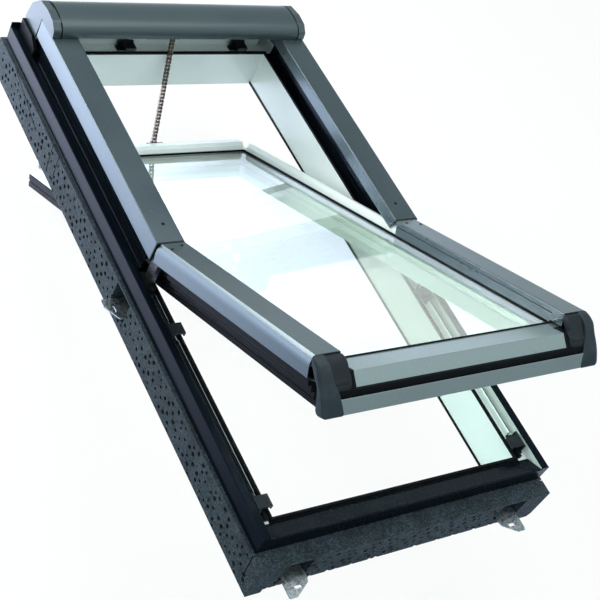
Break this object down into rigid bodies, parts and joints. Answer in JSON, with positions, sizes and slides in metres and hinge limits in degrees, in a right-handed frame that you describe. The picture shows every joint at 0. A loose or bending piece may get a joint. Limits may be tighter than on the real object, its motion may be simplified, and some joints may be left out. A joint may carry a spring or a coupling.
{
  "type": "roof window",
  "caption": "Centre-pivot roof window with dark metal covers, white inner frame, insulation frame and a chain opener, standing open.",
  "frame": {"origin": "middle of the four corner bracket slots, on the underside of the brackets, where they lie on the rafters", "axes": "+X across the window, +Y up the slope of the roof, +Z out to the sky, square to the roof plane"},
  "size_m": [0.81, 1.566, 0.6719],
  "materials": {
    "pvc": "smooth white",
    "cladding": "dark anthracite, semi-gloss",
    "cover": "anthracite metallic, satin",
    "foam": "grey expanded foam, granular",
    "rubber": "black, matte",
    "black_plastic": "black moulded",
    "galvanised": "zinc coated",
    "bearing": "dark steel",
    "chain": "oiled steel",
    "screw": "plain steel",
    "clear": "clear, faintly green",
    "spacer": "plain"
  },
  "bodies": {
    "frame": {"frame_stile_left": "pvc", "frame_stile_right": "pvc", "frame_head": "pvc", "frame_sill": "pvc", "stile_cladding_left": "cladding", "stile_cladding_right": "cladding", "head_cladding": "cladding", "sill_cladding": "cladding", "rebate_strips": "cladding", "cover_rail_left": "cladding", "cover_rail_right": "cladding", "upper_cover_left": "cover", "upper_cover_right": "cover", "hood_sheet": "cover", "insulation_stile_left": "foam", "insulation_stile_right": "foam", "insulation_head": "foam", "insulation_sill": "foam", "frame_seal": "rubber", "lining_seal": "rubber", "cover_plug_left": "black_plastic", "cover_plug_right": "black_plastic", "hood_cap_left": "black_plastic", "hood_cap_right": "black_plastic", "chain_drive": "black_plastic", "sill_bracket_left": "galvanised", "sill_bracket_right": "galvanised", "head_bracket_left": "galvanised", "head_bracket_right": "galvanised", "side_bracket_left": "galvanised", "side_bracket_right": "galvanised", "pivot_bearing_left": "bearing", "pivot_bearing_right": "bearing", "strikers": "bearing", "opening_chain": "chain", "bracket_screws": "screw", "frame_cover_screws": "screw"},
    "sash": {"sash_stile_left": "pvc", "sash_stile_right": "pvc", "sash_head": "pvc", "sash_rail": "pvc", "side_profile_left": "black_plastic", "side_profile_right": "black_plastic", "outer_pane": "clear", "inner_pane": "clear", "glass_spacer": "spacer", "glazing_gasket": "rubber", "lower_cover_left": "cover", "lower_cover_right": "cover", "glazing_bead_left": "cover", "glazing_bead_right": "cover", "rail_cladding": "cover", "rail_groove_seal": "rubber", "lower_strip": "cover", "end_cap_left": "black_plastic", "end_cap_right": "black_plastic", "pivot_arm_left": "bearing", "pivot_arm_right": "bearing", "chain_hook": "bearing", "sash_cover_screws": "screw"}
  },
  "joints": [
    {"name": "sash_swing", "type": "hinge", "parent": "frame", "child": "sash", "pos_m": [0, -0.069, 0.159], "axis": [-1, 0, 0], "range_deg": [-28, 0], "deforming": ["opening_chain"]}
  ]
}
